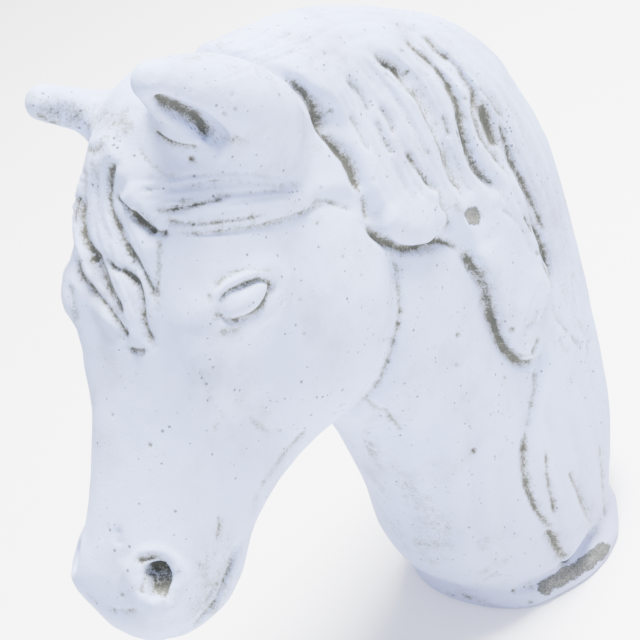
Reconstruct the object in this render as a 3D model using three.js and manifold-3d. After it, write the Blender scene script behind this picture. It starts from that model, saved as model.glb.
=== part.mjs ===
// Horse head garden statue: one solid casting of the head and arched neck, cut flat below.
// Millimetres, +Z up. The origin is the centre of the flat underside, the horse faces -Y,
// and its left side, where most of the mane falls, is +X.
import * as THREE from 'three';
import { mergeVertices } from 'three/addons/utils/BufferGeometryUtils.js';
import Module from 'manifold-3d';

// Driving dimensions
const headLength = 270;       // from the poll, between the ears, to the end of the muzzle
const facePitch = 34.8;       // degrees that the face leans from upright, muzzle forward
const footWidth = 152;        // the round underside of the neck, across
const footDepth = 132;        // and from front to back
const footRimHeight = 15;     // the low band that the lowest lock of the mane stops above
const footEdgeRadius = 9;     // rounding of the band's lower edge
const groundCut = 3;          // sculpted below the ground and cut away, so that it stands flat
const neckInset = 1.5;        // the neck's lower end, inside the band
const slotHeight = 8;         // the slot over the band, at the end of the lowest lock
const slotDepth = 5;
const surfaceStep = 3;        // grid spacing that the skin is first traced at
const triangleBudget = 9600;  // triangles kept in the finished casting

// Proportions of the figure, as shares of the head's length. Side outlines of the neck and the mane
// are in [y, z]; those of the head are in [s, t], down the face and back from it.
const L = headLength;
const pollPlace = [-0.577, 1.669];
const neckFront = (neckInset - footDepth / 2) / L;
const neckBack = -neckFront;
const neckOutline = [
  [neckFront, -0.03], [neckFront - 0.012, 0.06], [-0.305, 0.15], [-0.342, 0.26], [-0.338, 0.36],
  [-0.346, 0.489], [-0.376, 0.679], [-0.462, 0.873], [-0.522, 1.186], [-0.559, 1.475], [-0.50, 1.61], [-0.381, 1.622], [-0.235, 1.594],
  [-0.071, 1.541], [0.113, 1.437], [0.299, 1.297], [0.41, 1.065], [0.420, 0.79], [0.398, 0.496],
  [0.345, 0.223], [neckBack + 0.01, 0.06], [neckBack, -0.03],
];
const neckHalfWidth = [
  [-0.06, (footWidth / 2 - neckInset) / L], [0.28, 0.232], [0.5, 0.215], [0.95, 0.205], [1.2, 0.178],
  [1.45, 0.135], [1.6, 0.105],
];
const neckEdgeRound = 0.235;
const headOutline = [
  [-0.075, 0.20], [-0.065, 0.08], [0.02, 0.0], [0.16, -0.012], [0.34, -0.005], [0.52, 0.014],
  [0.70, 0.005], [0.86, -0.012], [0.95, 0.012], [1.0, 0.085], [1.005, 0.175], [0.96, 0.235],
  [0.90, 0.280], [0.82, 0.293], [0.74, 0.355], [0.66, 0.455], [0.57, 0.575], [0.45, 0.625],
  [0.30, 0.61], [0.12, 0.50], [0.0, 0.34],
];
const headHalfWidth = [
  [-0.06, 0.11], [0.08, 0.138], [0.22, 0.176], [0.36, 0.192], [0.48, 0.16], [0.60, 0.134], [0.72, 0.131],
  [0.84, 0.132], [0.92, 0.118], [1.0, 0.084],
];
const headEdgeRound = [
  [-0.06, 0.11], [0.10, 0.135], [0.25, 0.11], [0.4, 0.085], [0.6, 0.09], [0.85, 0.11], [1.0, 0.084],
];
const headBulges = [
  { centre: [0.10, 0.40, 0.40], radii: [0.128, 0.215, 0.215], blend: 0.05 },      // cheek
  { centre: [0.125, 0.325, 0.12], radii: [0.062, 0.095, 0.09], blend: 0.05 },     // brow
  { centre: [0.080, 0.865, 0.035], radii: [0.052, 0.062, 0.050], blend: 0.03 },   // nostril's rim
];
const headHollows = [
  { centre: [0.105, 0.846, -0.012], radii: [0.022, 0.034, 0.040], blend: 0.012 }, // nostril
];
const footSquareness = 2.05;   // 2 would be an ellipse
const slotTurn = { from: -62, to: 8, fade: 12 };   // degrees around the foot
const blends = { head: 0.034, foot: 0.04, ear: 0.05, earHollow: 0.016 };

// Each ear is a rounded horn with a slot in its front. The far one is slimmer and lies a little lower.
// Radii are those at the root and the tip, with one between that they bend towards.
const nearEar = { root: [0.12, -0.425, 1.535], tip: [0.145, -0.638, 1.738], radii: [0.083, 0.103, 0.036] };
const farEar = { root: [-0.12, -0.42, 1.485], tip: [-0.160, -0.63, 1.685], radii: [0.070, 0.050, 0.036] };
const earSlot = { from: 0.44, to: 0.92, radii: [0.018, 0.036, 0.012], shift: 0.85, facing: [0.5, -0.7, -0.5] };

// The eye lies on a slant, from its inner corner, low in front, to the outer one. Its lid is a ridge
// around it, placed and as wide as shares of the eye's half length and half height.
const eye = {
  centre: [0.343, 0.115], slant: 113, half: [0.066, 0.033], ball: 0.013, lid: 0.013,
  lidPlace: 1.5, lidWidth: 0.42, faceSide: [0.10, 0.15],
};

// Outlines of the hair that stands proud of the neck and the head
const maneOutline = [
  [-0.40, 1.72], [-0.31, 1.53], [-0.268, 1.445], [-0.268, 1.366], [-0.288, 1.29], [-0.292, 1.232],
  [-0.277, 1.166], [-0.215, 1.107], [-0.145, 1.068], [-0.100, 1.085], [-0.085, 1.02], [-0.088, 0.93],
  [-0.082, 0.84], [-0.074, 0.746], [-0.031, 0.66], [0.02, 0.64], [0.02, 0.585], [-0.05, 0.523],
  [-0.11, 0.452], [-0.125, 0.365], [-0.11, 0.266], [-0.115, 0.18], [-0.12, 0.02], [0.05, -0.1],
  [0.25, -0.1], [0.50, 0.0], [0.65, 0.80], [0.50, 1.50], [0.10, 1.80],
];
const bandOutline = [
  [-0.06, -0.08], [0.12, -0.08], [0.165, -0.03], [0.214, -0.02], [0.213, 0.03], [0.207, 0.106],
  [0.198, 0.19], [0.190, 0.271], [0.172, 0.339], [0.165, 0.411], [0.185, 0.49], [0.06, 0.47],
  [0.0, 0.34], [-0.06, 0.2],
];
const forelockOutline = [
  [-0.09, 0.06], [0.0, 0.06], [0.065, 0.16], [0.092, 0.225], [0.086, 0.32], [0.066, 0.435],
  [0.045, 0.46], [0.012, 0.435], [-0.05, 0.415], [-0.098, 0.35], [-0.15, 0.27], [-0.15, 0.17],
];

// How far the hair stands out, over what width its edge rises, and how much of it the far side keeps
const relief = { mane: 0.024, band: 0.016, forelock: 0.016, edge: 0.030, farSide: 0.6 };

// Where the carving fades: over the crest in x, from the far side to the near one in x, back from
// the face in t, down from the poll in s, and above the foot's band in z.
const fades = {
  crest: [0.01, 0.07], farToNear: [-0.08, 0.02], face: [0.04, 0.10], poll: [-0.05, 0.05], foot: 0.14,
};

// Strokes cut into the surface, each with its width and depth
const maneStrokes = [
  { width: 0.016, depth: 0.014, points: [[-0.087, 1.465], [-0.02, 1.37], [-0.01, 1.293], [-0.03, 1.09]] },
  { width: 0.016, depth: 0.016, points: [[0.02, 1.42], [0.065, 1.32], [0.055, 1.226], [0.040, 1.164],
    [0.05, 1.088], [0.08, 1.035]] },
  { width: 0.018, depth: 0.018, points: [[0.08, 1.42], [0.11, 1.32], [0.13, 1.20], [0.165, 1.005],
    [0.160, 0.872], [0.168, 0.768], [0.13, 0.69]] },
  { width: 0.016, depth: 0.010, points: [[-0.027, 0.50], [-0.03, 0.435], [-0.07, 0.315], [-0.09, 0.15]] },
  { width: 0.016, depth: 0.011, points: [[0.04, 0.42], [0.025, 0.30], [-0.01, 0.20], [0.0, 0.13]] },
];
const headStrokes = [
  { width: 0.022, depth: 0.016, points: [[0.246, 0.553], [0.404, 0.556], [0.490, 0.582], [0.63, 0.63]] },
  { width: 0.016, depth: 0.010, points: [[0.580, 0.60], [0.612, 0.647], [0.653, 0.706], [0.707, 0.777]] },
  { width: 0.014, depth: 0.018, points: [[0.805, 0.205], [0.87, 0.165], [0.93, 0.13], [1.03, 0.13]] },
  { width: 0.016, depth: 0.010, points: [[0.155, 0.03], [0.16, 0.12], [0.15, 0.22], [0.13, 0.32]] },
];
const faceStrokes = [
  { width: 0.015, depth: 0.012, points: [[-0.02, 0.10], [0.0, 0.17], [0.02, 0.25], [0.058, 0.42]] },
  { width: 0.015, depth: 0.012, points: [[-0.09, 0.12], [-0.09, 0.22], [-0.055, 0.31], [0.035, 0.44]] },
  { width: 0.014, depth: 0.009, points: [[-0.13, 0.14], [-0.145, 0.22], [-0.11, 0.30], [-0.04, 0.385]] },
  { width: 0.018, depth: 0.016, points: [[0.01, 0.16], [0.05, 0.20], [0.088, 0.232]] },
];

// Locks whose strokes are spaced evenly between two outer ones
const maneLocks = [
  { count: 3, from: [[-0.20, 1.50], [-0.20, 1.36], [-0.22, 1.20]],
    to: [[-0.13, 1.49], [-0.07, 1.34], [-0.09, 1.14]] },
  { count: 4, from: [[0.17, 1.38], [0.24, 1.20], [0.26, 0.95], [0.22, 0.72], [0.14, 0.56], [0.05, 0.14]],
    to: [[0.28, 1.28], [0.40, 1.04], [0.42, 0.80], [0.40, 0.52], [0.31, 0.33], [0.20, 0.12]] },
];
const lockStroke = { width: 0.016, depth: 0.010 };
const strokeEnds = { fadeOver: 0.15, depthLeft: 0.35 };   // a stroke's ends run out shallow

// How the skin is traced and thinned
const blockCellCount = 5;      // grid cells along a block, which is skipped where it is far from the skin
const blockReach = 1.5;        // how far is far, as a share of half a block's diagonal
const leastCrossing = 0.02;    // a traced corner stays this share of an edge away from the edge's ends
const openPlanes = 1e-4;       // planes that lean apart less than this leave a removed edge's place open
const evenness = 1e-6;         // how much long edges are spared when thinning
const leastAgreement = 0.25;   // cosine of the most that a face may turn
const leastFace = 0.05;        // twice the area of the smallest face left, in square millimetres
const skinMargin = 5;          // room around the figure

const radians = (degrees) => degrees * Math.PI / 180;
const clamp = (value, low, high) => Math.min(Math.max(value, low), high);
const inMillimetres = (shares) => shares.map((share) => share * L);

function smoothstep(low, high, value) {
  const t = clamp((value - low) / (high - low), 0, 1);
  return t * t * (3 - 2 * t);
}

// Rises from 0 to 1 between two shares of the head's length.
function fade([low, high], value) {
  return smoothstep(low * L, high * L, value);
}

// Soft joins of two distances: join fuses forms over a blend width, and carve cuts one from the other.
function join(a, b, blend) {
  const overlap = Math.max(blend - Math.abs(a - b), 0) / blend;
  return Math.min(a, b) - overlap * overlap * blend / 4;
}

function carve(body, tool, blend) {
  return -join(-body, tool, blend);
}

// Two faces that meet at a rounded edge.
function roundedEdge(a, b, radius) {
  const u = a + radius;
  const v = b + radius;
  return Math.hypot(Math.max(u, 0), Math.max(v, 0)) + Math.min(Math.max(u, v), 0) - radius;
}

// A value that changes smoothly through stations given as [place, value].
function along(place, stations) {
  const next = stations.findIndex(([to]) => place <= to);
  if (next < 0) return stations[stations.length - 1][1];
  if (next === 0) return stations[0][1];
  const [from, valueFrom] = stations[next - 1];
  const [to, valueTo] = stations[next];
  return valueFrom + (valueTo - valueFrom) * smoothstep(from, to, place);
}

// A smooth line through the given points in a plane, closed or open.
class Line {
  constructor(points, closed, steps) {
    const knots = points.map(([u, v]) => new THREE.Vector3(u * L, v * L, 0));
    this.points = new THREE.CatmullRomCurve3(knots, closed, 'centripetal').getPoints(steps);
  }

  // How far a place is from the line, and the share of the line's length at the nearest point.
  nearest(u, v) {
    let least = Infinity;
    let share = 0;
    const last = this.points.length - 1;
    for (let i = 1; i <= last; i++) {
      const a = this.points[i - 1];
      const b = this.points[i];
      const du = b.x - a.x;
      const dv = b.y - a.y;
      const t = clamp(((u - a.x) * du + (v - a.y) * dv) / (du * du + dv * dv), 0, 1);
      const away = Math.hypot(u - a.x - t * du, v - a.y - t * dv);
      if (away < least) {
        least = away;
        share = (i - 1 + t) / last;
      }
    }
    return { away: least, share };
  }
}

// A closed outline, with the distance to it, which is less than 0 inside.
class Outline extends Line {
  constructor(points) {
    super(points, true, 4 * points.length);
  }

  distance(u, v) {
    let inside = false;
    for (let i = 1; i < this.points.length; i++) {
      const a = this.points[i - 1];
      const b = this.points[i];
      const spans = (a.y > v) !== (b.y > v);
      if (spans && u < a.x + (v - a.y) * (b.x - a.x) / (b.y - a.y)) inside = !inside;
    }
    return this.nearest(u, v).away * (inside ? -1 : 1);
  }
}

// A stroke of a carving tool.
class Stroke extends Line {
  constructor({ points, width, depth }) {
    super(points, false, 5 * (points.length - 1));
    this.width = width * L;
    this.depth = depth * L;
    this.box = new THREE.Box3().setFromPoints(this.points).expandByScalar(2.2 * this.width);
  }

  depthAt(u, v) {
    const { min, max } = this.box;
    if (u < min.x || u > max.x || v < min.y || v > max.y) return 0;
    const { away, share } = this.nearest(u, v);
    const { fadeOver, depthLeft } = strokeEnds;
    const ends = smoothstep(0, fadeOver, share) * smoothstep(0, fadeOver, 1 - share);
    return this.depth * Math.exp(-((away / this.width) ** 2)) * (depthLeft + (1 - depthLeft) * ends);
  }
}

function deepest(strokes, u, v) {
  return strokes.reduce((depth, stroke) => Math.max(depth, stroke.depthAt(u, v)), 0);
}

// The strokes of a lock.
function lock({ from, to, count }) {
  return Array.from({ length: count }, (_, n) => {
    const share = (n + 0.5) / count;
    const points = from.map(([u, v], i) => [u + (to[i][0] - u) * share, v + (to[i][1] - v) * share]);
    return { points, ...lockStroke };
  });
}

function ellipsoid(x, s, t, centre, radii) {
  const p = (x - centre[0]) / radii[0];
  const q = (s - centre[1]) / radii[1];
  const r = (t - centre[2]) / radii[2];
  const k = Math.hypot(p, q, r);
  const slope = Math.hypot(p / radii[0], q / radii[1], r / radii[2]);
  return slope === 0 ? -Math.min(...radii) : k * (k - 1) / slope;
}

// A round horn between two points, whose radius runs from the first of three to the last.
class Horn {
  constructor(from, to, radii) {
    this.axis = new THREE.Line3(new THREE.Vector3(...from), new THREE.Vector3(...to));
    this.radii = radii;
    this.nearest = new THREE.Vector3();
  }

  radiusAt(share) {
    const { lerp } = THREE.MathUtils;
    const [first, bend, last] = this.radii;
    return lerp(lerp(first, bend, share), lerp(bend, last, share), share);
  }

  distance(place) {
    const share = this.axis.closestPointToPointParameter(place, true);
    this.axis.at(share, this.nearest);
    return place.distanceTo(this.nearest) - this.radiusAt(share);
  }
}

// The head's own frame: s down the face from the poll, t from the face back to the jaw.
const pitchSin = Math.sin(radians(facePitch));
const pitchCos = Math.cos(radians(facePitch));
const [pollY, pollZ] = inMillimetres(pollPlace);
function toHead(y, z) {
  const dy = y - pollY;
  const dz = z - pollZ;
  return [-dy * pitchSin - dz * pitchCos, dy * pitchCos - dz * pitchSin];
}

const neckSide = new Outline(neckOutline);
const headSide = new Outline(headOutline);
const maneSide = new Outline(maneOutline);
const bandSide = new Outline(bandOutline);
const forelockFront = new Outline(forelockOutline);
const maneCuts = [...maneStrokes, ...maneLocks.flatMap(lock)].map((stroke) => new Stroke(stroke));
const headCuts = headStrokes.map((stroke) => new Stroke(stroke));
const faceCuts = faceStrokes.map((stroke) => new Stroke(stroke));

// What the side view alone decides, worked out once for each place in it.
const sideViews = new Map();
function sideView(y, z) {
  if (!sideViews.has(z)) sideViews.set(z, new Map());
  const row = sideViews.get(z);
  if (!row.has(y)) {
    const [s, t] = toHead(y, z);
    row.set(y, {
      s,
      t,
      neck: neckSide.distance(y, z),
      neckHalfWidth: along(z / L, neckHalfWidth) * L,
      head: headSide.distance(s, t),
      headHalfWidth: along(s / L, headHalfWidth) * L,
      headRound: along(s / L, headEdgeRound) * L,
      mane: maneSide.distance(y, z),
      band: bandSide.distance(s, t),
      maneCut: deepest(maneCuts, y, z),
      headCut: deepest(headCuts, s, t),
    });
  }
  return row.get(y);
}

function neck(x, side) {
  const round = Math.min(side.neckHalfWidth, neckEdgeRound * L);
  return roundedEdge(side.neck, Math.abs(x) - side.neckHalfWidth, round);
}

const bulges = headBulges.map(({ centre, radii, blend }) => (
  { centre: inMillimetres(centre), radii: inMillimetres(radii), blend: blend * L }));
const hollows = headHollows.map(({ centre, radii, blend }) => (
  { centre: inMillimetres(centre), radii: inMillimetres(radii), blend: blend * L }));

function head(x, side) {
  const { s, t } = side;
  const out = Math.abs(x);
  let d = roundedEdge(side.head, out - side.headHalfWidth, Math.min(side.headRound, side.headHalfWidth));
  for (const { centre, radii, blend } of bulges) d = join(d, ellipsoid(out, s, t, centre, radii), blend);
  for (const { centre, radii, blend } of hollows) d = carve(d, ellipsoid(out, s, t, centre, radii), blend);
  return d;
}

// The eyeball stands in a rim of lid, both on the slant.
function eyeRelief(x, { s, t }) {
  const angle = radians(eye.slant);
  const ds = s / L - eye.centre[0];
  const dt = t / L - eye.centre[1];
  const u = (ds * Math.cos(angle) + dt * Math.sin(angle)) / eye.half[0];
  const v = (-ds * Math.sin(angle) + dt * Math.cos(angle)) / eye.half[1];
  const r = Math.hypot(u, v);
  const ball = eye.ball * Math.sqrt(Math.max(1 - r * r, 0));
  const lid = eye.lid * Math.exp(-(((r - eye.lidPlace) / eye.lidWidth) ** 2));
  return (ball + lid) * L * fade(eye.faceSide, Math.abs(x));
}

// The band around the foot runs on below the ground, where the cut takes it off.
function foot(x, y, z) {
  const across = Math.abs(x / (footWidth / 2)) ** footSquareness;
  const back = Math.abs(y / (footDepth / 2)) ** footSquareness;
  const side = ((across + back) ** (1 / footSquareness) - 1) * footDepth / 2;
  const middle = (footRimHeight - groundCut) / 2;
  const halfHeight = (footRimHeight + groundCut) / 2;
  return roundedEdge(side, Math.abs(z - middle) - halfHeight, footEdgeRadius);
}

// The neck ends below the ground too, its lower edge rounded like the foot's.
function neckOnGround(x, side, z) {
  return roundedEdge(neck(x, side), -groundCut - z, footEdgeRadius);
}

function slot(x, y, z) {
  const turn = THREE.MathUtils.radToDeg(Math.atan2(y, x));
  const start = smoothstep(slotTurn.from, slotTurn.from + slotTurn.fade, turn);
  const end = smoothstep(slotTurn.to, slotTurn.to - slotTurn.fade, turn);
  const height = (z - footRimHeight - slotHeight / 2) / (slotHeight / 2);
  return slotDepth * start * end * Math.exp(-(height ** 2));
}

function ear({ root, tip, radii }) {
  const cup = new Horn(inMillimetres(root), inMillimetres(tip), inMillimetres(radii));
  const [x, y, z] = earSlot.facing;
  const facing = new THREE.Vector3(x * Math.sign(root[0]), y, z).normalize();
  const onFace = (share) => {
    const middle = cup.axis.at(share, new THREE.Vector3());
    return middle.addScaledVector(facing, cup.radiusAt(share) * earSlot.shift);
  };
  return { cup, hollow: new Horn(onFace(earSlot.from), onFace(earSlot.to), inMillimetres(earSlot.radii)) };
}
const ears = [ear(nearEar), ear(farEar)];
const carvingReach = 4 * relief.mane * L;   // the carving is worked out this near to the surface only

// How far the hair stands out and the strokes cut in, at a place near the surface.
function reliefAt(x, z, side) {
  const boldness = relief.farSide + (1 - relief.farSide) * fade(fades.farToNear, x);
  const carving = fade(fades.crest, Math.abs(x)) * boldness;
  const raised = (distance) => smoothstep(0.2 * relief.edge * L, -relief.edge * L, distance);
  const front = (1 - fade(fades.face, side.t)) * fade(fades.poll, side.s);
  let height = raised(side.mane) * relief.mane * L * boldness - side.maneCut * carving;
  height *= smoothstep(footRimHeight, footRimHeight + fades.foot * L, z);
  height += raised(side.band) * relief.band * L * boldness - side.headCut * carving;
  if (front > 0) {
    height += raised(forelockFront.distance(x, side.s)) * relief.forelock * L * front;
    height -= deepest(faceCuts, x, side.s) * front;
  }
  return height + eyeRelief(x, side);
}

function casting(x, y, z) {
  const side = sideView(y, z);
  let d = join(neckOnGround(x, side, z), head(x, side), blends.head * L);
  d = join(d, foot(x, y, z), blends.foot * L);
  if (Math.abs(d) < carvingReach) d += slot(x, y, z) - reliefAt(x, z, side);
  const place = new THREE.Vector3(x, y, z);
  for (const { cup, hollow } of ears) {
    d = join(d, cup.distance(place), blends.ear * L);
    d = carve(d, hollow.distance(place), blends.earHollow * L);
  }
  return d;
}

// The skin where the distance is zero, traced in tetrahedra on a grid. Blocks of the grid that lie
// wholly inside or outside are skipped.
const cubeCorners = [[0, 0, 0], [1, 0, 0], [1, 1, 0], [0, 1, 0], [0, 0, 1], [1, 0, 1], [1, 1, 1], [0, 1, 1]];
const cubeTetrahedra = [[0, 5, 1, 6], [0, 1, 2, 6], [0, 2, 3, 6], [0, 3, 7, 6], [0, 7, 4, 6], [0, 4, 5, 6]];

class Tracer {
  constructor(field, box, step) {
    this.field = field;
    this.origin = box.min;
    this.step = step;
    this.blocks = box.getSize(new THREE.Vector3()).divideScalar(step * blockCellCount).ceil();
    this.size = this.blocks.clone().multiplyScalar(blockCellCount).addScalar(1);
    this.values = new Float64Array(this.size.x * this.size.y * this.size.z).fill(NaN);
    this.edgePoints = new Map();
    this.points = [];
    this.faces = [];
  }

  key(i, j, k) {
    return (k * this.size.y + j) * this.size.x + i;
  }

  place(i, j, k) {
    return new THREE.Vector3(i, j, k).multiplyScalar(this.step).add(this.origin);
  }

  value(i, j, k) {
    const key = this.key(i, j, k);
    if (Number.isNaN(this.values[key])) {
      const { x, y, z } = this.place(i, j, k);
      this.values[key] = this.field(x, y, z);
    }
    return this.values[key];
  }

  // The point where an edge of the grid crosses the skin, shared by every face that uses it.
  crossing(inner, outer) {
    const ends = [inner.key, outer.key].sort((a, b) => a - b);
    const edge = ends[0] * this.values.length + ends[1];
    if (!this.edgePoints.has(edge)) {
      const share = clamp(inner.value / (inner.value - outer.value), leastCrossing, 1 - leastCrossing);
      this.edgePoints.set(edge, this.points.push(inner.place.clone().lerp(outer.place, share)) - 1);
    }
    return this.edgePoints.get(edge);
  }

  traceTetrahedron(corners) {
    const inner = corners.filter((corner) => corner.value < 0);
    const outer = corners.filter((corner) => corner.value >= 0);
    if (inner.length === 0 || outer.length === 0) return;
    const ring = inner.length === 2
      ? [[0, 0], [0, 1], [1, 1], [1, 0]]
      : inner.flatMap((_, n) => outer.map((_, m) => [n, m]));
    const found = ring.map(([n, m]) => this.crossing(inner[n], outer[m]));
    const away = middleOf(outer).sub(middleOf(inner));
    for (let n = 2; n < found.length; n++) this.addFace([found[0], found[n - 1], found[n]], away);
  }

  // Adds a face, turned to look away from the material.
  addFace(face, away) {
    const [a, b, c] = face.map((n) => this.points[n]);
    this.faces.push(crossProduct(a, b, c).dot(away) > 0 ? face : face.toReversed());
  }

  traceCube(i, j, k) {
    let inside = 0;
    for (const [a, b, c] of cubeCorners) {
      if (this.value(i + a, j + b, k + c) < 0) inside += 1;
    }
    if (inside === 0 || inside === cubeCorners.length) return;
    const cells = cubeCorners.map(([a, b, c]) => ({
      key: this.key(i + a, j + b, k + c),
      value: this.value(i + a, j + b, k + c),
      place: this.place(i + a, j + b, k + c),
    }));
    for (const tetrahedron of cubeTetrahedra) this.traceTetrahedron(tetrahedron.map((n) => cells[n]));
  }

  isNear(block) {
    const middle = block.clone().addScalar(0.5).multiplyScalar(blockCellCount);
    const { x, y, z } = this.place(middle.x, middle.y, middle.z);
    const halfDiagonal = blockCellCount * this.step * Math.sqrt(3) / 2;
    return Math.abs(this.field(x, y, z)) < blockReach * halfDiagonal;
  }

  traceBlock(block) {
    const first = block.clone().multiplyScalar(blockCellCount);
    for (let k = first.z; k < first.z + blockCellCount; k++) {
      for (let j = first.y; j < first.y + blockCellCount; j++) {
        for (let i = first.x; i < first.x + blockCellCount; i++) this.traceCube(i, j, k);
      }
    }
  }

  trace() {
    for (let bk = 0; bk < this.blocks.z; bk++) {
      for (let bj = 0; bj < this.blocks.y; bj++) {
        for (let bi = 0; bi < this.blocks.x; bi++) {
          const block = new THREE.Vector3(bi, bj, bk);
          if (this.isNear(block)) this.traceBlock(block);
        }
      }
    }
    return { points: this.points, faces: this.faces };
  }
}

function middleOf(corners) {
  const sum = corners.reduce((total, { place }) => total.add(place), new THREE.Vector3());
  return sum.divideScalar(corners.length);
}

function crossProduct(a, b, c) {
  return new THREE.Vector3().subVectors(b, a).cross(new THREE.Vector3().subVectors(c, a));
}

// The squared distances to a set of planes, summed. Each plane adds ten products of its normal (x, y, z)
// and its offset d, in the order xx, xy, xz, xd, yy, yz, yd, zz, zd, dd.
class Quadric {
  constructor() {
    this.sums = new Float64Array(10);
  }

  addPlane({ x, y, z }, d, weight) {
    const products = [x * x, x * y, x * z, x * d, y * y, y * z, y * d, z * z, z * d, d * d];
    products.forEach((product, i) => {
      this.sums[i] += product * weight;
    });
  }

  add(other) {
    for (let i = 0; i < this.sums.length; i++) this.sums[i] += other.sums[i];
    return this;
  }

  errorAt({ x, y, z }) {
    const q = this.sums;
    return q[0] * x * x + q[4] * y * y + q[7] * z * z + q[9]
      + 2 * (q[1] * x * y + q[2] * x * z + q[5] * y * z + q[3] * x + q[6] * y + q[8] * z);
  }

  // The places with the least error: none where the planes leave it open.
  leastPlaces() {
    const q = this.sums;
    const matrix = new THREE.Matrix3().set(q[0], q[1], q[2], q[1], q[4], q[5], q[2], q[5], q[7]);
    if (Math.abs(matrix.determinant()) < openPlanes * (q[0] + q[4] + q[7]) ** 3) return [];
    return [new THREE.Vector3(-q[3], -q[6], -q[8]).applyMatrix3(matrix.invert())];
  }
}

// A queue that gives back the item with the least cost.
class Heap {
  constructor() {
    this.items = [];
  }

  push(item) {
    const { items } = this;
    let i = items.push(item) - 1;
    while (i > 0) {
      const parent = (i - 1) >> 1;
      if (items[parent].cost <= item.cost) break;
      items[i] = items[parent];
      i = parent;
    }
    items[i] = item;
  }

  pop() {
    const { items } = this;
    const top = items[0];
    const last = items.pop();
    let i = 0;
    while (2 * i + 1 < items.length) {
      let child = 2 * i + 1;
      if (child + 1 < items.length && items[child + 1].cost < items[child].cost) child += 1;
      if (items[child].cost >= last.cost) break;
      items[i] = items[child];
      i = child;
    }
    if (items.length > 0) items[i] = last;
    return top;
  }
}

// Thins a closed skin to a budget of faces. The edge whose removal strays least from the faces
// around it goes first, and none goes that would fold the skin over or pinch it.
class Thinner {
  constructor({ points, faces }) {
    this.points = points;
    this.faces = new Set(faces);
    this.quadrics = points.map(() => new Quadric());
    this.around = points.map(() => new Set());
    this.changes = points.map(() => 0);
    this.heap = new Heap();
    for (const face of faces) {
      const corners = face.map((v) => points[v]);
      const normal = crossProduct(...corners);
      const weight = normal.length();
      normal.normalize();
      for (const v of face) {
        this.around[v].add(face);
        this.quadrics[v].addPlane(normal, -normal.dot(corners[0]), weight);
      }
    }
    for (const [u, v, w] of faces) {
      for (const [from, to] of [[u, v], [v, w], [w, u]]) {
        if (from < to) this.offer(from, to);
      }
    }
  }

  // Puts an edge in the queue, with the place that would stand for both its ends.
  offer(u, v) {
    const ends = [this.points[u], this.points[v]];
    const span = ends[0].distanceTo(ends[1]);
    const middle = ends[0].clone().lerp(ends[1], 0.5);
    const quadric = new Quadric().add(this.quadrics[u]).add(this.quadrics[v]);
    const ideal = quadric.leastPlaces().filter((place) => place.distanceTo(middle) < span);
    let best = { cost: Infinity };
    for (const place of [...ideal, middle, ...ends]) {
      const cost = quadric.errorAt(place) + evenness * span ** 4;
      if (cost < best.cost) best = { cost, place: place.clone() };
    }
    this.heap.push({ ...best, u, v, changes: this.changes[u] + this.changes[v] });
  }

  neighbours(v) {
    const near = new Set();
    for (const face of this.around[v]) {
      for (const w of face) near.add(w);
    }
    near.delete(v);
    return near;
  }

  foldsOver(vertex, other, place) {
    for (const face of this.around[vertex]) {
      if (face.includes(other)) continue;
      const before = crossProduct(...face.map((v) => this.points[v]));
      const after = crossProduct(...face.map((v) => (v === vertex ? place : this.points[v])));
      if (after.length() < leastFace) return true;
      if (before.dot(after) < leastAgreement * before.length() * after.length()) return true;
    }
    return false;
  }

  mayRemove({ u, v, place, changes }) {
    if (this.around[u].size === 0 || this.around[v].size === 0) return false;
    if (this.changes[u] + this.changes[v] !== changes) return false;
    const nearU = this.neighbours(u);
    const shared = [...this.neighbours(v)].filter((w) => nearU.has(w));
    return shared.length === 2 && !this.foldsOver(u, v, place) && !this.foldsOver(v, u, place);
  }

  // Merges v into u.
  remove({ u, v, place }) {
    this.points[u] = place;
    this.quadrics[u].add(this.quadrics[v]);
    for (const face of this.around[v]) {
      if (face.includes(u)) {
        for (const w of face) this.around[w].delete(face);
        this.faces.delete(face);
      } else {
        face[face.indexOf(v)] = u;
        this.around[u].add(face);
      }
    }
    this.around[v].clear();
    this.changes[u] += 1;
    for (const w of this.neighbours(u)) this.offer(u, w);
  }

  thinTo(budget) {
    while (this.faces.size > budget && this.heap.items.length > 0) {
      const edge = this.heap.pop();
      if (this.mayRemove(edge)) this.remove(edge);
    }
    return { points: this.points, faces: [...this.faces] };
  }
}

// Solids for the cut. Only the corners that faces use are kept.
function toGeometry({ points, faces }) {
  const geometry = new THREE.BufferGeometry();
  geometry.setFromPoints(faces.flat().map((v) => points[v]));
  return mergeVertices(geometry, 1e-5);
}

const wasm = await Module();
wasm.setup();
function toSolid(geometry) {
  const mesh = new wasm.Mesh({
    numProp: 3,
    vertProperties: Float32Array.from(geometry.attributes.position.array),
    triVerts: Uint32Array.from(geometry.index.array),
  });
  return new wasm.Manifold(mesh);
}

function fromSolid(solid) {
  const { vertProperties, triVerts } = solid.getMesh();
  const geometry = new THREE.BufferGeometry();
  geometry.setAttribute('position', new THREE.BufferAttribute(Float32Array.from(vertProperties), 3));
  geometry.setIndex(Array.from(triVerts));
  geometry.computeVertexNormals();
  return geometry;
}

// The box that the figure stands in, and the ground that its underside is cut off by
const figureLow = [-0.30, -1.30];
const figureHigh = [0.30, 0.55, 1.80];
const figureBox = new THREE.Box3(
  new THREE.Vector3(...inMillimetres(figureLow), -groundCut),
  new THREE.Vector3(...inMillimetres(figureHigh)),
);
figureBox.expandByPoint(new THREE.Vector3(footWidth / 2, footDepth / 2, 0));
figureBox.expandByPoint(new THREE.Vector3(-footWidth / 2, -footDepth / 2, 0));
figureBox.expandByScalar(skinMargin);
const groundSize = figureBox.getSize(new THREE.Vector3()).multiplyScalar(2);
const ground = new THREE.BoxGeometry(...groundSize);
ground.translate(0, 0, -groundSize.z / 2);
ground.deleteAttribute('normal');
ground.deleteAttribute('uv');

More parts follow.
